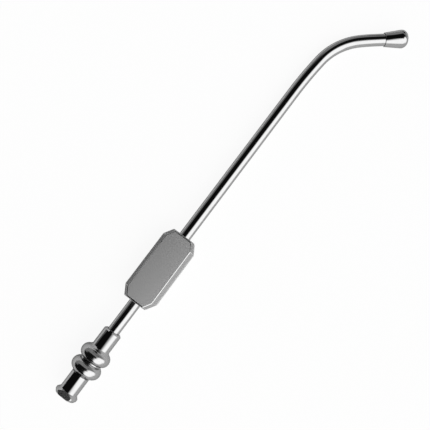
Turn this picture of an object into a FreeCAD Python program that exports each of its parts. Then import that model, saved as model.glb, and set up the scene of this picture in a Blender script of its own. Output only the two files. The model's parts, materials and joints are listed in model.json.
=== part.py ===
import FreeCAD, Part
import math
import os

# Antrum cannula: a bent washing tube that carries a turned hub for a syringe, a bevelled finger
# plate and a blunt hollow tip, all soldered on. It is drawn with its straight part along X from
# the hub's open face and its bend in the XY plane towards -Y. It is then laid on the table as it
# comes to rest, on the hub's front ring, one corner of the plate and the tip.
# Lengths are in millimetres and angles in degrees.

V = FreeCAD.Vector

# Tube
tube_diameter = 4.0
tube_wall = 0.5
tube_straight = 96.1          # from the hub's mouth to the start of the bend
bend_entry_radius = 143.0     # the bend starts and ends gently, as on a former
bend_entry_angle = 5.8
bend_radius = 21.5
bend_angle = 40.6
bend_exit_radius = 61.0
bend_exit_angle = 4.2
tube_end_straight = 4.0       # from the end of the bend to the tip's rear edge

# Hub
hub_length = 24.2
hub_body_diameter = 6.1
hub_mouth_chamfer = 0.45
tube_seat_depth = 10.0
ring_diameter = 10.05
ring_round = 2.3              # radius of each ring's round edge
front_ring_from_mouth = 8.95  # from the hub's mouth to the middle of the front ring
ring_spacing = 4.6
ring_neck_diameter = 7.2      # narrow neck between the two rings
ring_foot = 0.5               # small slope between a ring and the hub's body

# Locking ears at the hub's open end
ear_diameter = 7.6
ear_thickness = 2.05
ear_land = 0.6
ear_face_chamfer = 0.6
ear_face_chamfer_drop = 0.4

# Tapered socket for the syringe, six parts in a hundred on the diameter
socket_mouth_diameter = 4.3
socket_depth = 7.5
socket_taper = 0.06
socket_mouth_chamfer = 0.15
drill_point_angle = 118.0

# Finger plate
plate_length = 25.6
plate_width = 11.7
plate_thickness = 7.5
plate_from_mouth = 11.1       # from the hub's mouth to the plate
plate_corner_length = 3.1     # corner cuts, along and across the plate
plate_corner_width = 1.9
plate_bevel_depth = 1.3
plate_side_bevel = 1.25       # widths of the bevels seen from the front
plate_corner_bevel = 0.95
plate_end_bevel = 0.3
plate_edge_break = 0.12       # small flat along the edges of each bevel

# Tip
tip_length = 7.7
tip_rear_diameter = 4.65
tip_diameter = 6.0
tip_nose_round = 2.1
tip_lip_chamfer = 0.2
tip_seat_depth = 3.2

# Gap that the solder fills round the tube
solder_gap = 0.03

# Rounds of the search for the resting pose, far more than it needs
settling_rounds = 20

tube_radius = tube_diameter / 2
bore_radius = tube_radius - tube_wall
seat_radius = tube_radius + solder_gap
body_radius = hub_body_diameter / 2
ring_radius = ring_diameter / 2
front_ring_x = hub_length - front_ring_from_mouth
rear_ring_x = front_ring_x - ring_spacing
plate_start = hub_length + plate_from_mouth
turn_axis = V(1, 0, 0)


def arc_edge(centre, start, end):
    """Short arc round centre from start to end, in the plane of the three points."""
    radius = (start - centre).Length
    middle = (start + end) / 2 - centre
    middle.normalize()
    return Part.Arc(start, centre + middle * radius, end).toShape()


def joined_edges(stations):
    """Edges through a list of points, where (centre, point) stands for an arc to the point."""
    edges = []
    last = stations[0]
    for station in stations[1:]:
        if isinstance(station, tuple):
            centre, point = station
            edges.append(arc_edge(centre, last, point))
        else:
            point = station
            edges.append(Part.LineSegment(last, point).toShape())
        last = point
    return edges


def turned(stations):
    """Solid turned about the X axis from a closed half section."""
    wire = Part.Wire(joined_edges(stations + [stations[0]]))
    return Part.Face(wire).revolve(V(0, 0, 0), turn_axis, 360)


def tangent_point(outside, centre, radius):
    """Upper point where a line from the outside point touches a circle."""
    reach = outside - centre
    spread = math.acos(radius / reach.Length)
    towards = math.atan2(reach.y, reach.x) - spread
    return centre + V(math.cos(towards), math.sin(towards), 0) * radius


def on_ring(centre, height, side):
    """Point of a ring's round edge at a height over the axis, on its rear or front side."""
    return V(centre.x + side * math.sqrt(ring_round ** 2 - (height - centre.y) ** 2), height, 0)


def ring_stations():
    """Outer line over the two grip rings, from the rear body to the front body."""
    rear = V(rear_ring_x, ring_radius - ring_round, 0)
    front = V(front_ring_x, ring_radius - ring_round, 0)
    foot_height = body_radius + ring_foot
    neck_height = ring_neck_diameter / 2
    rear_foot = on_ring(rear, foot_height, -1)
    front_foot = on_ring(front, foot_height, 1)
    return [
        V(rear_foot.x - ring_foot, body_radius, 0),
        rear_foot,
        (rear, on_ring(rear, neck_height, 1)),
        on_ring(front, neck_height, -1),
        (front, front_foot),
        V(front_foot.x + ring_foot, body_radius, 0),
    ]


def ear_stations():
    """Outer line of the locking ears, from the open face to the body."""
    ear_radius = ear_diameter / 2
    return [
        V(0, ear_radius - ear_face_chamfer_drop, 0),
        V(ear_face_chamfer, ear_radius, 0),
        V(ear_face_chamfer + ear_land, ear_radius, 0),
        V(ear_thickness, body_radius, 0),
    ]


def bore_stations():
    """Inner line of the hub, from the tube's seat to the socket's mouth."""
    seat_bottom = hub_length - tube_seat_depth
    mouth = socket_mouth_diameter / 2
    bottom = mouth - socket_taper * socket_depth / 2
    point_length = (bottom - bore_radius) / math.tan(math.radians(drill_point_angle / 2))
    lip = mouth - socket_taper * socket_mouth_chamfer / 2
    return [
        V(hub_length, seat_radius, 0),
        V(seat_bottom, seat_radius, 0),
        V(seat_bottom, bore_radius, 0),
        V(socket_depth + point_length, bore_radius, 0),
        V(socket_depth, bottom, 0),
        V(socket_mouth_chamfer, lip, 0),
        V(0, mouth + socket_mouth_chamfer, 0),
    ]


def make_hub():
    mouth_edge = [
        V(hub_length - hub_mouth_chamfer, body_radius, 0),
        V(hub_length, body_radius - hub_mouth_chamfer, 0),
    ]
    hub = turned(ear_stations() + ring_stations() + mouth_edge + bore_stations())
    # Two flats in line with the body leave an ear on each side
    spare = ear_diameter
    for side in (1, -1):
        low = body_radius if side > 0 else -body_radius - spare
        flat = Part.makeBox(ear_thickness + spare, 2 * spare, spare, V(-spare, -spare, low))
        hub = hub.cut(flat)
    return hub


def tube_path():
    """Centre line of the tube, and the placement of the tip on its end."""
    point = V(hub_length + tube_straight, 0, 0)
    heading = 0.0
    stations = [V(hub_length - tube_seat_depth, 0, 0), point]
    bends = [
        (bend_entry_radius, bend_entry_angle),
        (bend_radius, bend_angle),
        (bend_exit_radius, bend_exit_angle),
    ]
    for radius, angle in bends:
        centre = point + V(-math.sin(heading), -math.cos(heading), 0) * radius
        heading += math.radians(angle)
        point = centre + V(math.sin(heading), math.cos(heading), 0) * radius
        stations.append((centre, point))
    forward = V(math.cos(heading), -math.sin(heading), 0)
    tip_rear = point + forward * tube_end_straight
    stations.append(tip_rear + forward * tip_seat_depth)
    turn = FreeCAD.Rotation(V(0, 0, 1), -math.degrees(heading))
    return Part.Wire(joined_edges(stations)), FreeCAD.Placement(tip_rear, turn)


def make_tube(path):
    start = V(hub_length - tube_seat_depth, 0, 0)
    rings = []
    for radius in (tube_radius, bore_radius):
        rings.append(Part.Wire([Part.makeCircle(radius, start, turn_axis)]))
    outside, inside = [path.makePipeShell([ring], True, True) for ring in rings]
    return outside.cut(inside)


def make_tip(place):
    """Blunt hollow tip, turned at the origin and moved to its place on the end of the tube."""
    nose = V(tip_length - tip_nose_round, tip_diameter / 2 - tip_nose_round, 0)
    rear = V(0, tip_rear_diameter / 2, 0)
    shoulder = tangent_point(rear, nose, tip_nose_round)
    lip = bore_radius + tip_lip_chamfer
    lip_x = nose.x + math.sqrt(tip_nose_round ** 2 - (lip - nose.y) ** 2)
    tip = turned([
        rear,
        shoulder,
        (nose, V(lip_x, lip, 0)),
        V(lip_x - tip_lip_chamfer, bore_radius, 0),
        V(tip_seat_depth, bore_radius, 0),
        V(tip_seat_depth, seat_radius, 0),
        V(0, seat_radius, 0),
    ])
    tip.Placement = place
    return tip


def plate_outline(height, share, spare):
    """Corners of the plate at a height, moved in by a share of each bevel and by a spare amount."""
    half_length = plate_length / 2
    half_width = plate_width / 2
    slant = math.hypot(plate_corner_length, plate_corner_width)
    side = half_width - share * plate_side_bevel - spare
    end = half_length - share * plate_end_bevel - spare
    corner_inset = share * plate_corner_bevel + spare
    # The corner line crosses the side and the end where both lines have moved in
    reach = half_length * plate_corner_width + half_width * plate_corner_length
    reach -= plate_corner_length * plate_corner_width + corner_inset * slant
    along = (reach - side * plate_corner_length) / plate_corner_width
    across = (reach - end * plate_corner_width) / plate_corner_length
    quarter = [(end, across), (along, side)]
    corners = quarter + [(-x, y) for x, y in reversed(quarter)]
    corners += [(-x, -y) for x, y in corners]
    centre = plate_start + half_length
    return [V(centre + x, y, height) for x, y in corners]


def make_plate():
    wall = plate_thickness / 2 - plate_bevel_depth
    face = plate_thickness / 2
    step = plate_edge_break
    share = step / plate_bevel_depth
    upper = [(wall - step, 0, 0), (wall + step, share, 0), (face - step, 1 - share, 0), (face, 1, step)]
    lower = [(-height, share, spare) for height, share, spare in reversed(upper)]
    outlines = []
    for level in lower + upper:
        corners = plate_outline(*level)
        outlines.append(Part.makePolygon(corners + [corners[0]]))
    plate = Part.makeLoft(outlines, True, True)
    bore = Part.makeCylinder(seat_radius, plate_length, V(plate_start, 0, 0), turn_axis)
    return plate.cut(bore)


def ring_contact(centre, axis, radius, roundness, up):
    """Lowest point of a round-edged ring for a given up direction."""
    outward = up - axis * up.dot(axis)
    outward.normalize()
    return centre - outward * radius - up * roundness


def rest_up(tip_place):
    """Up direction of the table under the hub's front ring, the plate and the tip."""
    tip_axis = tip_place.Rotation.multVec(turn_axis)
    nose = tip_place.multVec(V(tip_length - tip_nose_round, 0, 0))
    corners = plate_outline(-plate_thickness / 2, 1, plate_edge_break)
    up = V(0, 0, 1)
    for step in range(settling_rounds):
        on_ring = ring_contact(
            V(front_ring_x, 0, 0), turn_axis, ring_radius - ring_round, ring_round, up)
        on_tip = ring_contact(nose, tip_axis, tip_diameter / 2 - tip_nose_round, tip_nose_round, up)
        on_plate = min(corners, key=up.dot)
        up = (on_tip - on_ring).cross(on_plate - on_ring)
        up.normalize()
    return up


def rest_placement(pieces, tip_place):
    """Turn and move that lay the pieces on the table, the origin under the middle of their box."""
    up = rest_up(tip_place)
    along = turn_axis - up * up.dot(turn_axis)
    along.normalize()
    turn = FreeCAD.Rotation(along, up.cross(along), up, "ZXY").inverted()
    laid = Part.makeCompound(pieces)
    laid.Placement = FreeCAD.Placement(V(0, 0, 0), turn)
    box = laid.optimalBoundingBox(False, False)
    return FreeCAD.Placement(V(-box.Center.x, -box.Center.y, -box.ZMin), turn)


centre_line, tip_place = tube_path()
pieces = {
    "cannula_tube": make_tube(centre_line),
    "luer_hub": make_hub(),
    "finger_plate": make_plate(),
    "tip_olive": make_tip(tip_place),
}
rest = rest_placement(list(pieces.values()), tip_place)
os.makedirs("parts", exist_ok=True)
for name, shape in pieces.items():
    shape.Placement = rest.multiply(shape.Placement)
    shape.exportStep("parts/" + name + ".step")
    print(name, shape.isValid(), len(shape.Solids), round(shape.Volume, 2), "mm3")
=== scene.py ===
import json
import math
import bpy
from mathutils import Matrix, Vector


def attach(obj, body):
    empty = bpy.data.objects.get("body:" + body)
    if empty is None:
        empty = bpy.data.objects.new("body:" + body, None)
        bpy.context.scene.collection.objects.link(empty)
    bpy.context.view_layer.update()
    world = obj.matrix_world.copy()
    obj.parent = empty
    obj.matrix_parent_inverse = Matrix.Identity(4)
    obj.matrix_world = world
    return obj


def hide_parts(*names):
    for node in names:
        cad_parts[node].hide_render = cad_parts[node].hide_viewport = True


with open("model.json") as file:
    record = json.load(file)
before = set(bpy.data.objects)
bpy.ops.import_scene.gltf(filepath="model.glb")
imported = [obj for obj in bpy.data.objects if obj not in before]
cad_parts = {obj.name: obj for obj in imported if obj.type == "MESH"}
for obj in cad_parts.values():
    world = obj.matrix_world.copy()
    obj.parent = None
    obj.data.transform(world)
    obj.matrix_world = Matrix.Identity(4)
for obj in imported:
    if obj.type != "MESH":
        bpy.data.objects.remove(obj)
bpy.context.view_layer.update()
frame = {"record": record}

# Antrum cannula: a bent washing tube with a turned syringe hub, a bevelled finger plate and a blunt
# tip. Each piece is modelled along the X axis in millimetres, as on a workshop drawing: x runs from
# the hub's open face, the bend turns towards -Y, and the plate's face looks along +Z. It is then
# laid on the table where the frame's own mounts say.

# Tube
TUBE_RADIUS = 2.0
TUBE_WALL = 0.5
TUBE_STRAIGHT = 96.1
TUBE_END_STRAIGHT = 4.0
BENDS = ((143.0, 5.8, 10), (21.5, 40.6, 48), (61.0, 4.2, 6))    # radius, angle and steps of each arc
BORE_RADIUS = TUBE_RADIUS - TUBE_WALL
SEAT_RADIUS = 2.03

# Hub
HUB_LENGTH = 24.2
HUB_RADIUS = 3.05
HUB_MOUTH_CHAMFER = 0.45
TUBE_SEAT = 10.0
RING_RADIUS = 5.025
RING_ROUND = 2.3
RING_X = (10.65, 15.25)
RING_NECK_RADIUS = 3.6
RING_FOOT = 0.5
RING_STANDS = 0.02    # what stands out further than this is on a ring
EAR_RADIUS = 3.8
EAR_THICKNESS = 2.05
EAR_CHAMFER = 0.6
EAR_CHAMFER_DROP = 0.4
EAR_LAND = 0.6
SOCKET_DEPTH = 7.5
SOCKET_MOUTH_RADIUS = 2.15
SOCKET_BOTTOM_RADIUS = 1.925
SOCKET_POINT = 0.255
SOCKET_CHAMFER = 0.15

# Finger plate
PLATE_START = 35.3
PLATE_SIZE = (25.6, 11.7, 7.5)
PLATE_CORNER = (3.1, 1.9)
PLATE_BEVEL_DEPTH = 1.3
PLATE_SIDE_BEVEL = 1.25
PLATE_CORNER_BEVEL = 0.95
PLATE_END_BEVEL = 0.3
PLATE_EDGE_ROUND = 0.4
PLATE_SPARE = 1.2     # how much larger the raw block is
PLATE_UPRIGHT = 0.1   # a bevel leans more than an upright side, as a cosine
PLATE_LEVEL = 0.99    # and less than a level face

# Tip
TIP_LENGTH = 7.7
TIP_REAR_RADIUS = 2.325
TIP_RADIUS = 3.0
TIP_NOSE_ROUND = 2.1
TIP_LIP = 0.2
TIP_SEAT = 3.2

AROUND = 128          # steps round every turned piece
ARC_STEPS = 14        # steps over a round edge of a turned piece
EDGE_BREAK = 0.06     # round that polishing leaves on a sharp edge; the hub's comes out as zero
MERGE = 1e-4          # points nearer than this are one
FLAT = 0.9999         # least cosine between the directions of two faces in one plane
SHARP = math.radians(32)
MM = 0.001

# Surfaces, in metres
STEEL = (0.38, 0.38, 0.38, 1.0)
STEEL_HAZED = (0.36, 0.36, 0.36, 1.0)       # in the smears
STEEL_EDGE = (0.5, 0.5, 0.5, 1.0)           # seen at a low angle
LINE_PITCH = 0.00004           # of the turning lines
LINE_DEPTH = 0.0000001
LINE_ROUGHNESS = 0.02
SMEAR_SIZE = 0.004
SMEAR_FROM = (0.45, 0.75)      # where the noise begins to smear, and where it is full
SMEAR_ROUGHNESS = 0.03
HUB_ROUGHNESS = 0.02
TUBE_ROUGHNESS = 0.07
TIP_ROUGHNESS = 0.05
MILLED_ROUGHNESS = 0.24        # on the ears' flats
GRIPPED_ROUGHNESS = 0.12       # on the rings, where fingers dull the polish
SATIN = (0.53, 0.53, 0.53, 1.0)
SATIN_PALE = (0.55, 0.55, 0.55, 1.0)        # in the paler clouds
# Darker colour on the bevels: painted shade for the light they catch less of, not a ground finish
SATIN_SHADED_BEVEL = (0.42, 0.42, 0.42, 1.0)      # on the bevels
SATIN_WORN = (0.45, 0.45, 0.45, 1.0)        # on the edges
SATIN_ROUGHNESS = 0.74
WORN_ROUGHNESS = 0.13
GRAIN_SIZE = 0.00012           # of the blasting
GRAIN_DEPTH = 0.000002
GRAIN_ROUGHNESS = 0.08
CLOUD_ROUGHNESS = 0.06

# Studio. Directions in the sky are given as the angle across the tube, from straight above the
# plate's face towards the right as seen with the tip ahead, and the angle along it towards the tip.
# Each dark zone has two limits across the tube, two limits along it, and a soft edge.
DARK_ZONES = (
    (-86, 34, -95, -10),
    (-56, 34, -18, 30),
    (-28, 34, 24, 46),
    (-150, 15, 62, 95),
)
DARK_EDGE = 5
CEILING_LIGHT = 0.008          # the least light from anywhere
BOX_CENTRE = (50, -16)         # of the soft box, across the tube and along it
BOX_REACH = (36, 48)
BOX_SQUARENESS = 3.0           # how bluntly the box ends along the tube
BOX_EDGE = (0.35, 1.5)         # where it begins to fade and where it ends, in its reach squared
BOX_SHIFT = 10                 # how far the box's part towards the tip stands to the right
BOX_SHIFT_SPAN = (-10, -7.5)   # along the tube
BOX_LIGHT = 2.44
WALL_LIGHT = (0.32, 0.384)     # on the left and on the right
AHEAD_LIGHT = 0.42             # beyond the tip
AHEAD_RISE = (0.3, 0.7)        # cosines with the tube, from where the wall gets that light
HORIZON_LIGHT = (0.4, 0.76)    # on the left and on the right
HORIZON_RISE = (4, 16)         # height in degrees over which it fades
MIDDLE = (-0.4, 0.4)           # cosines between the left and the right
FLOOR_RADIUS = 3.0
FLOOR_SIDES = 96
FLOOR_COLOUR = (0.08, 0.08, 0.08, 1.0)
FLOOR_IN_METAL = (0.85, 0.85, 0.85, 1.0)
FLOOR_GLOW = 0.93              # what makes it white to a camera
GLOW_IN_METAL = 0.35           # the metal's share of that glow
BACKDROP_LIGHT = 0.98          # what a camera sees past the floor
CARD_FROM = (31.0, -28.0, 50.0)             # grey card over the hub's left, on the drawing
CARD_TO = (57.0, 140.0, 50.0)
CARD_LIGHT = 0.42

# Camera. It looks down on the object, turned so that the tube rises to the right.
CAMERA_LENS = 46.88
CAMERA_DISTANCE = 179.2
CAMERA_TILT = 6.39
CAMERA_ROLL = 4.5
PICTURE_TURN = 53.13
CAMERA_AIM = (72.32, -3.565, 0.0)

mounts = {mount["name"]: mount for mount in frame["record"]["mounts"]}
along = -Vector(mounts["luer_socket"]["axis"]).normalized()
tip_axis = Vector(mounts["tip_lumen"]["axis"]).normalized()
face = tip_axis.cross(along).normalized()
across = face.cross(along)
origin = Vector(mounts["luer_socket"]["pos_m"]) - along * SOCKET_DEPTH / 2 * MM
drawing = Matrix((along, across, face)).transposed().to_4x4()
drawing.translation = origin
TO_TABLE = drawing @ Matrix.Scale(MM, 4)


def deselect_all():
    bpy.ops.object.select_all(action="DESELECT")


def finish_modelling(name):
    """Leaves edit mode with merged points and outward faces, and names the piece."""
    bpy.ops.mesh.select_all(action="SELECT")
    bpy.ops.mesh.remove_doubles(threshold=MERGE)
    bpy.ops.mesh.normals_make_consistent(inside=False)
    bpy.ops.object.mode_set(mode="OBJECT")
    piece = bpy.context.active_object
    piece.name = name
    piece.data.name = name
    return piece


def apply_modifier(piece, kind, **settings):
    modifier = piece.modifiers.new(kind.title(), kind)
    for name, value in settings.items():
        setattr(modifier, name, value)
    bpy.context.view_layer.objects.active = piece
    bpy.ops.object.modifier_apply(modifier=modifier.name)


def cut_away(piece, tool):
    """Cuts the tool's shape out of the piece and throws the tool away."""
    apply_modifier(piece, "BOOLEAN", object=tool, operation="DIFFERENCE", solver="EXACT")
    bpy.data.objects.remove(tool)


def break_edges(piece, width):
    """Small rounds on the sharp edges."""
    apply_modifier(piece, "BEVEL", width=width, segments=3, limit_method="ANGLE",
                   angle_limit=SHARP, use_clamp_overlap=True)


def smooth(piece):
    deselect_all()
    piece.select_set(True)
    bpy.context.view_layer.objects.active = piece
    bpy.ops.object.shade_smooth_by_angle(angle=SHARP)


def mark_faces(piece, name, picked):
    """Gives the faces that a test picks a value of 1 under this name, and all others 0."""
    marks = piece.data.attributes.new(name, "FLOAT", "FACE")
    for polygon in piece.data.polygons:
        marks.data[polygon.index].value = 1.0 if picked(polygon) else 0.0


def start_ring(x, radius):
    """Ring of edges round the X axis, open in edit mode with all of it selected."""
    deselect_all()
    bpy.ops.mesh.primitive_circle_add(
        vertices=AROUND, radius=radius, location=(x, 0, 0), rotation=(0, math.pi / 2, 0))
    bpy.ops.object.transform_apply()
    bpy.ops.object.mode_set(mode="EDIT")
    bpy.ops.mesh.select_all(action="SELECT")


def draw_ring(x, radius, next_x, next_radius):
    """Draws the selected ring out along X and scales it to its next radius."""
    bpy.ops.mesh.extrude_region_move(TRANSFORM_OT_translate={"value": (next_x - x, 0, 0)})
    factor = next_radius / radius
    bpy.ops.transform.resize(value=(1, factor, factor), center_override=(next_x, 0, 0))


def turned(name, outline):
    """Turned piece, drawn ring by ring along a closed outline of (x, radius)."""
    start_ring(*outline[0])
    for here, there in zip(outline, outline[1:] + outline[:1]):
        draw_ring(*here, *there)
    return finish_modelling(name)


def arc(centre_x, centre_radius, radius, start, end, steps=ARC_STEPS):
    """Points of a round edge from one angle to another, measured from +X towards the outside."""
    angles = [start + (end - start) * step / steps for step in range(steps + 1)]
    return [(centre_x + radius * math.cos(a), centre_radius + radius * math.sin(a)) for a in angles]


def ring_outline():
    """Outside of the two grip rings, with a small foot at each end and a neck between them."""
    centre = RING_RADIUS - RING_ROUND
    foot = math.asin((HUB_RADIUS + RING_FOOT - centre) / RING_ROUND)
    neck = math.asin((RING_NECK_RADIUS - centre) / RING_ROUND)
    rear, front = RING_X
    over_rear = arc(rear, centre, RING_ROUND, math.pi - foot, neck)
    over_front = arc(front, centre, RING_ROUND, math.pi - neck, foot)
    start = (over_rear[0][0] - RING_FOOT, HUB_RADIUS)
    end = (over_front[-1][0] + RING_FOOT, HUB_RADIUS)
    return [start] + over_rear + over_front + [end]


def make_hub():
    ears = [
        (0, EAR_RADIUS - EAR_CHAMFER_DROP),
        (EAR_CHAMFER, EAR_RADIUS),
        (EAR_CHAMFER + EAR_LAND, EAR_RADIUS),
        (EAR_THICKNESS, HUB_RADIUS),
    ]
    mouth = [
        (HUB_LENGTH - HUB_MOUTH_CHAMFER, HUB_RADIUS),
        (HUB_LENGTH, HUB_RADIUS - HUB_MOUTH_CHAMFER),
        (HUB_LENGTH, SEAT_RADIUS),
        (HUB_LENGTH - TUBE_SEAT, SEAT_RADIUS),
    ]
    socket = [
        (HUB_LENGTH - TUBE_SEAT, BORE_RADIUS),
        (SOCKET_DEPTH + SOCKET_POINT, BORE_RADIUS),
        (SOCKET_DEPTH, SOCKET_BOTTOM_RADIUS),
        (SOCKET_CHAMFER, SOCKET_MOUTH_RADIUS),
        (0, SOCKET_MOUTH_RADIUS + SOCKET_CHAMFER),
    ]
    hub = turned("turned_hub", ears + ring_outline() + mouth + socket)
    for side in (1, -1):
        deselect_all()
        bpy.ops.mesh.primitive_cube_add(
            size=1, location=(0, 0, side * (HUB_RADIUS + EAR_RADIUS / 2)),
            scale=(2 * EAR_THICKNESS, 4 * EAR_RADIUS, EAR_RADIUS))
        cut_away(hub, bpy.context.active_object)
    break_edges(hub, EDGE_BREAK)
    mark_faces(hub, "milled", lambda part: (
        part.center.x < EAR_THICKNESS and abs(part.normal.z) > FLAT))
    mark_faces(hub, "gripped", lambda part: (
        part.center.x > EAR_THICKNESS and part.center.yz.length > HUB_RADIUS + RING_STANDS))
    return hub


def make_tube():
    """Tube drawn out from the hub's seat, spun through its three bends and given its wall."""
    start = HUB_LENGTH - TUBE_SEAT
    start_ring(start, TUBE_RADIUS)
    point = Vector((HUB_LENGTH + TUBE_STRAIGHT, 0, 0))
    heading = 0.0
    bpy.ops.mesh.extrude_region_move(TRANSFORM_OT_translate={"value": (point.x - start, 0, 0)})
    for radius, angle, steps in BENDS:
        turn = math.radians(angle)
        centre = point + Vector((-math.sin(heading), -math.cos(heading), 0)) * radius
        bpy.ops.mesh.spin(steps=steps, angle=turn, center=centre, axis=(0, 0, 1))
        heading += turn
        point = centre + Vector((math.sin(heading), math.cos(heading), 0)) * radius
    forward = Vector((math.cos(heading), -math.sin(heading), 0))
    last = forward * (TUBE_END_STRAIGHT + TIP_SEAT)
    bpy.ops.mesh.extrude_region_move(TRANSFORM_OT_translate={"value": last})
    tube = finish_modelling("bent_tube")
    apply_modifier(tube, "SOLIDIFY", thickness=TUBE_WALL, offset=-1, use_even_offset=True)
    return tube, point + forward * TUBE_END_STRAIGHT, heading


def make_tip(rear, heading):
    """Blunt hollow tip, turned along X and swung to the end of the tube."""
    nose_x = TIP_LENGTH - TIP_NOSE_ROUND
    nose_height = TIP_RADIUS - TIP_NOSE_ROUND
    reach = math.hypot(nose_x, TIP_REAR_RADIUS - nose_height)
    slope = math.atan2(TIP_REAR_RADIUS - nose_height, -nose_x)
    shoulder = slope - math.acos(TIP_NOSE_ROUND / reach)
    lip = math.asin((BORE_RADIUS + TIP_LIP - nose_height) / TIP_NOSE_ROUND)
    nose = arc(nose_x, nose_height, TIP_NOSE_ROUND, shoulder, lip, 2 * ARC_STEPS)
    inside = [
        (nose[-1][0] - TIP_LIP, BORE_RADIUS),
        (TIP_SEAT, BORE_RADIUS),
        (TIP_SEAT, SEAT_RADIUS),
        (0, SEAT_RADIUS),
    ]
    tip = turned("blunt_tip", [(0, TIP_REAR_RADIUS)] + nose + inside)
    break_edges(tip, EDGE_BREAK)
    tip.data.transform(Matrix.Translation(rear) @ Matrix.Rotation(-heading, 4, "Z"))
    return tip


def plate_planes():
    """Planes that bound the plate round its outline and bevels: a point and an outward normal each."""
    length, width, height = (size / 2 for size in PLATE_SIZE)
    corner_x, corner_y = PLATE_CORNER
    corner = Vector((length, width - corner_y, 0))
    corner_out = Vector((corner_y, corner_x, 0)).normalized()
    sides = []
    for turn in (1, -1):
        sides.append((Vector((turn * length, 0, 0)), Vector((turn, 0, 0)), PLATE_END_BEVEL))
        sides.append((Vector((0, turn * width, 0)), Vector((0, turn, 0)), PLATE_SIDE_BEVEL))
        for flip in (1, -1):
            mirror = Vector((turn, flip, 1))
            sides.append((corner * mirror, corner_out * mirror, PLATE_CORNER_BEVEL))
    planes = [(foot, out) for foot, out, inset in sides]
    for foot, out, inset in sides:
        for side in (1, -1):
            rim = foot + Vector((0, 0, side * (height - PLATE_BEVEL_DEPTH)))
            slope = out * PLATE_BEVEL_DEPTH + Vector((0, 0, side * inset))
            planes.append((rim, slope.normalized()))
    return planes


def round_plate_edges(plate):
    """Rounds every edge to the same radius: a sharper turn takes a wider strip."""
    weights = plate.data.attributes.new("bevel_weight_edge", "FLOAT", "EDGE")
    normals = {}
    for polygon in plate.data.polygons:
        for key in polygon.edge_keys:
            normals.setdefault(key, []).append(polygon.normal)
    for edge in plate.data.edges:
        turn = normals[edge.key][0].angle(normals[edge.key][1])
        weights.data[edge.index].value = math.tan(turn / 2)
    apply_modifier(plate, "BEVEL", width=PLATE_EDGE_ROUND, segments=5, limit_method="WEIGHT",
                   use_clamp_overlap=False)


def make_plate():
    length, width, height = PLATE_SIZE
    centre = Vector((PLATE_START + length / 2, 0, 0))
    deselect_all()
    bpy.ops.mesh.primitive_cube_add(
        size=1, scale=(PLATE_SPARE * length, PLATE_SPARE * width, height))
    bpy.ops.object.transform_apply()
    bpy.ops.object.mode_set(mode="EDIT")
    for point, normal in plate_planes():
        bpy.ops.mesh.select_all(action="SELECT")
        bpy.ops.mesh.bisect(plane_co=point, plane_no=normal, use_fill=True, clear_outer=True)
    plate = finish_modelling("bevelled_plate")
    round_plate_edges(plate)
    flats = [normal for point, normal in plate_planes()]
    flats += [Vector((0, 0, 1)), Vector((0, 0, -1))]
    mark_faces(plate, "worn", lambda part: max(part.normal.dot(flat) for flat in flats) < FLAT)
    # Bevel faces, which the plate's material darkens with painted shade
    mark_faces(plate, "bevel_shade", lambda part: PLATE_UPRIGHT < abs(part.normal.z) < PLATE_LEVEL)
    plate.data.transform(Matrix.Translation(centre))
    deselect_all()
    bpy.ops.mesh.primitive_cylinder_add(
        vertices=AROUND, radius=SEAT_RADIUS, depth=2 * length, location=centre,
        rotation=(0, math.pi / 2, 0))
    cut_away(plate, bpy.context.active_object)
    return plate


class Value:
    """A value in a node tree. Sums and products of values add their own Math nodes."""

    def __init__(self, tree, socket=None):
        self.tree = tree
        self.socket = socket

    def node(self, kind, settings=None, sockets=None, output=0):
        made = self.tree.nodes.new(kind)
        for name, value in (settings or {}).items():
            if name == "stops":
                for stop, (place, colour) in zip(made.color_ramp.elements, value):
                    stop.position = place
                    stop.color = colour
            else:
                setattr(made, name, value)
        for name, value in (sockets or {}).items():
            if isinstance(value, Value):
                self.tree.links.new(value.socket, made.inputs[name])
            else:
                made.inputs[name].default_value = value
        return Value(self.tree, made.outputs[output] if made.outputs else None)

    def math(self, operation, *values):
        return self.node("ShaderNodeMath", {"operation": operation}, dict(enumerate(values)))

    def __add__(self, other):
        return self.math("ADD", self, other)

    def __sub__(self, other):
        return self.math("SUBTRACT", self, other)

    def __rsub__(self, other):
        return self.math("SUBTRACT", other, self)

    def __mul__(self, other):
        return self.math("MULTIPLY", self, other)

    __radd__ = __add__
    __rmul__ = __mul__


def step_up(value, low, high):
    """0 below low, 1 above high, and a smooth rise between them."""
    return value.node(
        "ShaderNodeMapRange", {"interpolation_type": "SMOOTHSTEP"},
        {"Value": value, "From Min": low, "From Max": high})


def new_material(name):
    """Empty node material, with the value that its nodes are added through."""
    material = bpy.data.materials.new(name)
    material.use_nodes = True
    material.node_tree.nodes.clear()
    return material, Value(material.node_tree)


def mix_colour(share, low, high):
    """Colour between two others, by a share from 0 to 1."""
    return share.node("ShaderNodeMix", {"data_type": "RGBA"}, {0: share, 6: low, 7: high}, output=2)


def blend(share, low, high):
    """Number between two others, by a share from 0 to 1."""
    return share * high + (1 - share) * low


def piece_coordinates(start, place, turn):
    """Coordinates along a piece's own axis, in metres, from where it starts."""
    here = start.node("ShaderNodeTexCoord", output=3)
    return start.node("ShaderNodeMapping", {"vector_type": "TEXTURE"}, {
        "Vector": here, "Location": place, "Rotation": turn.to_euler()})


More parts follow.
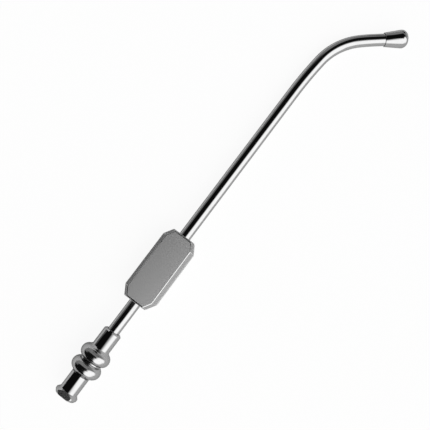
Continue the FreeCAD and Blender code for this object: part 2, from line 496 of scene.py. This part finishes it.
def mirror_steel(name, place, turn, roughness):
    """Mirror polished steel, with faint turning lines and a few dull smears."""
    material, start = new_material(name)
    here = piece_coordinates(start, place, turn)
    length = here.node("ShaderNodeSeparateXYZ", sockets={"Vector": here})
    line = here.node("ShaderNodeTexNoise", {"noise_dimensions": "1D"}, {
        "W": length * (1 / LINE_PITCH), "Detail": 2.0})
    smear = here.node("ShaderNodeTexNoise", sockets={
        "Vector": here, "Scale": 1 / SMEAR_SIZE, "Detail": 3.0, "Roughness": 0.6})
    haze = step_up(smear, *SMEAR_FROM)
    milled = start.node("ShaderNodeAttribute", {"attribute_name": "milled"}, output=2)
    gripped = start.node("ShaderNodeAttribute", {"attribute_name": "gripped"}, output=2)
    dulled = milled * MILLED_ROUGHNESS + gripped * GRIPPED_ROUGHNESS
    relief = here.node("ShaderNodeBump", sockets={
        "Strength": 1.0, "Distance": LINE_DEPTH, "Height": line})
    shader = start.node("ShaderNodeBsdfPrincipled", sockets={
        "Base Color": mix_colour(haze, STEEL, STEEL_HAZED),
        "Metallic": 1.0,
        "Roughness": haze * SMEAR_ROUGHNESS + line * LINE_ROUGHNESS + dulled + roughness,
        "Specular Tint": STEEL_EDGE,
        "Normal": relief,
    })
    start.node("ShaderNodeOutputMaterial", sockets={"Surface": shader})
    return material


def satin_steel(name):
    """Steel blasted to a satin of uneven tone, with painted shade darkening the bevels, and bright
    worn edges.
    """
    material, start = new_material(name)
    here = piece_coordinates(start, origin, drawing.to_quaternion())
    grain = here.node("ShaderNodeTexNoise", sockets={
        "Vector": here, "Scale": 1 / GRAIN_SIZE, "Detail": 3.0, "Roughness": 0.7})
    cloud = here.node("ShaderNodeTexNoise", sockets={
        "Vector": here, "Scale": 1 / SMEAR_SIZE, "Detail": 2.0})
    worn = start.node("ShaderNodeAttribute", {"attribute_name": "worn"}, output=2)
    bevel_shade = start.node("ShaderNodeAttribute", {"attribute_name": "bevel_shade"}, output=2)
    blasted = mix_colour(cloud, SATIN, SATIN_PALE)
    matt = grain * GRAIN_ROUGHNESS + cloud * CLOUD_ROUGHNESS + SATIN_ROUGHNESS
    relief = here.node("ShaderNodeBump", sockets={
        "Strength": 1.0, "Distance": GRAIN_DEPTH, "Height": grain})
    shader = start.node("ShaderNodeBsdfPrincipled", sockets={
        # The bevels take a darker colour as painted shade
        "Base Color": mix_colour(worn, mix_colour(bevel_shade, blasted, SATIN_SHADED_BEVEL), SATIN_WORN),
        "Metallic": 1.0,
        "Roughness": blend(worn, matt, WORN_ROUGHNESS),
        "Specular Tint": STEEL_EDGE,
        "Normal": relief,
    })
    start.node("ShaderNodeOutputMaterial", sockets={"Surface": shader})
    return material


def make_floor():
    """Floor that takes the shadow, and glows white to the camera and less to the metal."""
    deselect_all()
    bpy.ops.mesh.primitive_circle_add(
        vertices=FLOOR_SIDES, radius=FLOOR_RADIUS, fill_type="NGON")
    floor = bpy.context.active_object
    floor.name = "floor"
    material, start = new_material("pale_floor")
    path = start.node("ShaderNodeLightPath")
    seen = path.socket.node.outputs
    metal = Value(path.tree, seen["Is Glossy Ray"])
    shadowed = start.node("ShaderNodeBsdfDiffuse", sockets={
        "Color": mix_colour(metal, FLOOR_COLOUR, FLOOR_IN_METAL)})
    shown = path + metal * GLOW_IN_METAL + Value(path.tree, seen["Is Transmission Ray"])
    glow = start.node("ShaderNodeEmission", sockets={"Strength": shown * FLOOR_GLOW})
    both = start.node("ShaderNodeAddShader", sockets={0: shadowed, 1: glow})
    start.node("ShaderNodeOutputMaterial", sockets={"Surface": both})
    floor.data.materials.append(material)


def make_card():
    """Grey card over the hub that only the metal sees."""
    size = Vector(CARD_TO) - Vector(CARD_FROM)
    deselect_all()
    bpy.ops.mesh.primitive_plane_add(size=1)
    card = bpy.context.active_object
    card.name = "grey_card"
    card.data.transform(Matrix.Diagonal((size.x, size.y, 1, 1)))
    card.data.transform(TO_TABLE @ Matrix.Translation(Vector(CARD_FROM) + size / 2))
    material, start = new_material("grey_card")
    path = start.node("ShaderNodeLightPath")
    metal = Value(path.tree, path.socket.node.outputs["Is Glossy Ray"])
    clear = start.node("ShaderNodeBsdfTransparent")
    grey = start.node("ShaderNodeEmission", sockets={"Strength": CARD_LIGHT})
    both = start.node("ShaderNodeMixShader", sockets={0: metal, 1: clear, 2: grey})
    start.node("ShaderNodeOutputMaterial", sockets={"Surface": both})
    card.data.materials.append(material)


def between(value, low, high, edge):
    """1 between two limits in degrees and 0 outside them, with soft edges."""
    low, high, edge = (math.radians(angle) for angle in (low, high, edge))
    return step_up(value, low - edge, low + edge) * (1 - step_up(value, high - edge, high + edge))


def make_sky():
    """Studio round the object: soft box, dark ceiling, grey walls and a pale horizon."""
    world = bpy.data.worlds.new("studio")
    bpy.context.scene.world = world
    world.use_nodes = True
    world.node_tree.nodes.clear()
    start = Value(world.node_tree)
    ray = start.node("ShaderNodeTexCoord", output=0)
    share = {}
    axes = {"side": -across, "up": face, "length": along, "height": Vector((0, 0, 1))}
    for name, axis in axes.items():
        share[name] = start.node("ShaderNodeVectorMath", {"operation": "DOT_PRODUCT"}, {
            0: ray, 1: axis}, output=1)
    angle = start.math("ARCTAN2", share["side"], share["up"])
    slope = start.math("ARCSINE", share["length"])
    lit = 1.0
    for left, right, near, far in DARK_ZONES:
        dark = between(angle, left, right, DARK_EDGE) * between(slope, near, far, DARK_EDGE)
        lit = (1 - dark) * lit
    shifted = step_up(slope, *(math.radians(limit) for limit in BOX_SHIFT_SPAN))
    turned_away = angle - shifted * math.radians(BOX_SHIFT)
    places = []
    for value, centre, reach in zip((turned_away, slope), BOX_CENTRE, BOX_REACH):
        offset = (value - math.radians(centre)) * (1 / math.radians(reach))
        places.append(offset * offset)
    box = 1 - step_up(places[0] + start.math("POWER", places[1], BOX_SQUARENESS), *BOX_EDGE)
    climb = start.math("ARCSINE", share["height"])
    horizon = 1 - step_up(climb, *(math.radians(limit) for limit in HORIZON_RISE))
    rightward = step_up(share["side"], *MIDDLE)
    leftward = blend(step_up(share["length"], *AHEAD_RISE), WALL_LIGHT[0], AHEAD_LIGHT)
    wall = blend(rightward, leftward, WALL_LIGHT[1])
    wall = blend(horizon, wall, blend(rightward, *HORIZON_LIGHT))
    studio = wall * lit * (1 - box) + box * BOX_LIGHT + CEILING_LIGHT
    strength = blend(start.node("ShaderNodeLightPath"), studio, BACKDROP_LIGHT)
    light = start.node("ShaderNodeBackground", sockets={
        "Color": (1.0, 1.0, 1.0, 1.0), "Strength": strength})
    start.node("ShaderNodeOutputWorld", sockets={"Surface": light})


def make_camera():
    """Camera above the object, where the photograph was taken from."""
    tilt, roll, turn = (math.radians(angle) for angle in (CAMERA_TILT, CAMERA_ROLL, PICTURE_TURN))
    upright = face * math.cos(roll) - across * math.sin(roll)
    sideways = -across * math.cos(roll) - face * math.sin(roll)
    lengthwise = along * math.cos(tilt) + upright * math.sin(tilt)
    right = lengthwise * math.cos(turn) + sideways * math.sin(turn)
    top = lengthwise * math.sin(turn) - sideways * math.cos(turn)
    back = right.cross(top)
    placed = Matrix((right, top, back)).transposed().to_4x4()
    placed.translation = TO_TABLE @ Vector(CAMERA_AIM) + back * CAMERA_DISTANCE * MM
    lens = bpy.data.cameras.new("camera")
    lens.lens = CAMERA_LENS
    lens.clip_start = 0.01
    camera = bpy.data.objects.new("camera", lens)
    camera.matrix_world = placed
    bpy.context.scene.collection.objects.link(camera)
    bpy.context.scene.camera = camera


def lay_on_table(piece, node, material):
    """Puts a finished piece where the frame has its node, and gives it its metal."""
    piece.data.transform(TO_TABLE)
    smooth(piece)
    piece.data.materials.clear()
    piece.data.materials.append(material)
    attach(piece, "root")
    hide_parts(node)


tube, tip_rear, heading = make_tube()
tip = make_tip(tip_rear, heading)
hub = make_hub()
plate = make_plate()

turn = drawing.to_quaternion()
tip_turn = turn @ Matrix.Rotation(-heading, 3, "Z").to_quaternion()
hub_steel = mirror_steel("hub_mirror_steel", origin, turn, HUB_ROUGHNESS)
tube_steel = mirror_steel("tube_mirror_steel", origin, turn, TUBE_ROUGHNESS)
tip_steel = mirror_steel("tip_mirror_steel", TO_TABLE @ tip_rear, tip_turn, TIP_ROUGHNESS)

lay_on_table(tube, "cannula_tube", tube_steel)
lay_on_table(hub, "luer_hub", hub_steel)
lay_on_table(tip, "tip_olive", tip_steel)
lay_on_table(plate, "finger_plate", satin_steel("plate_satin_steel"))

make_floor()
make_card()
make_sky()
make_camera()
bpy.context.scene.view_settings.view_transform = "Standard"
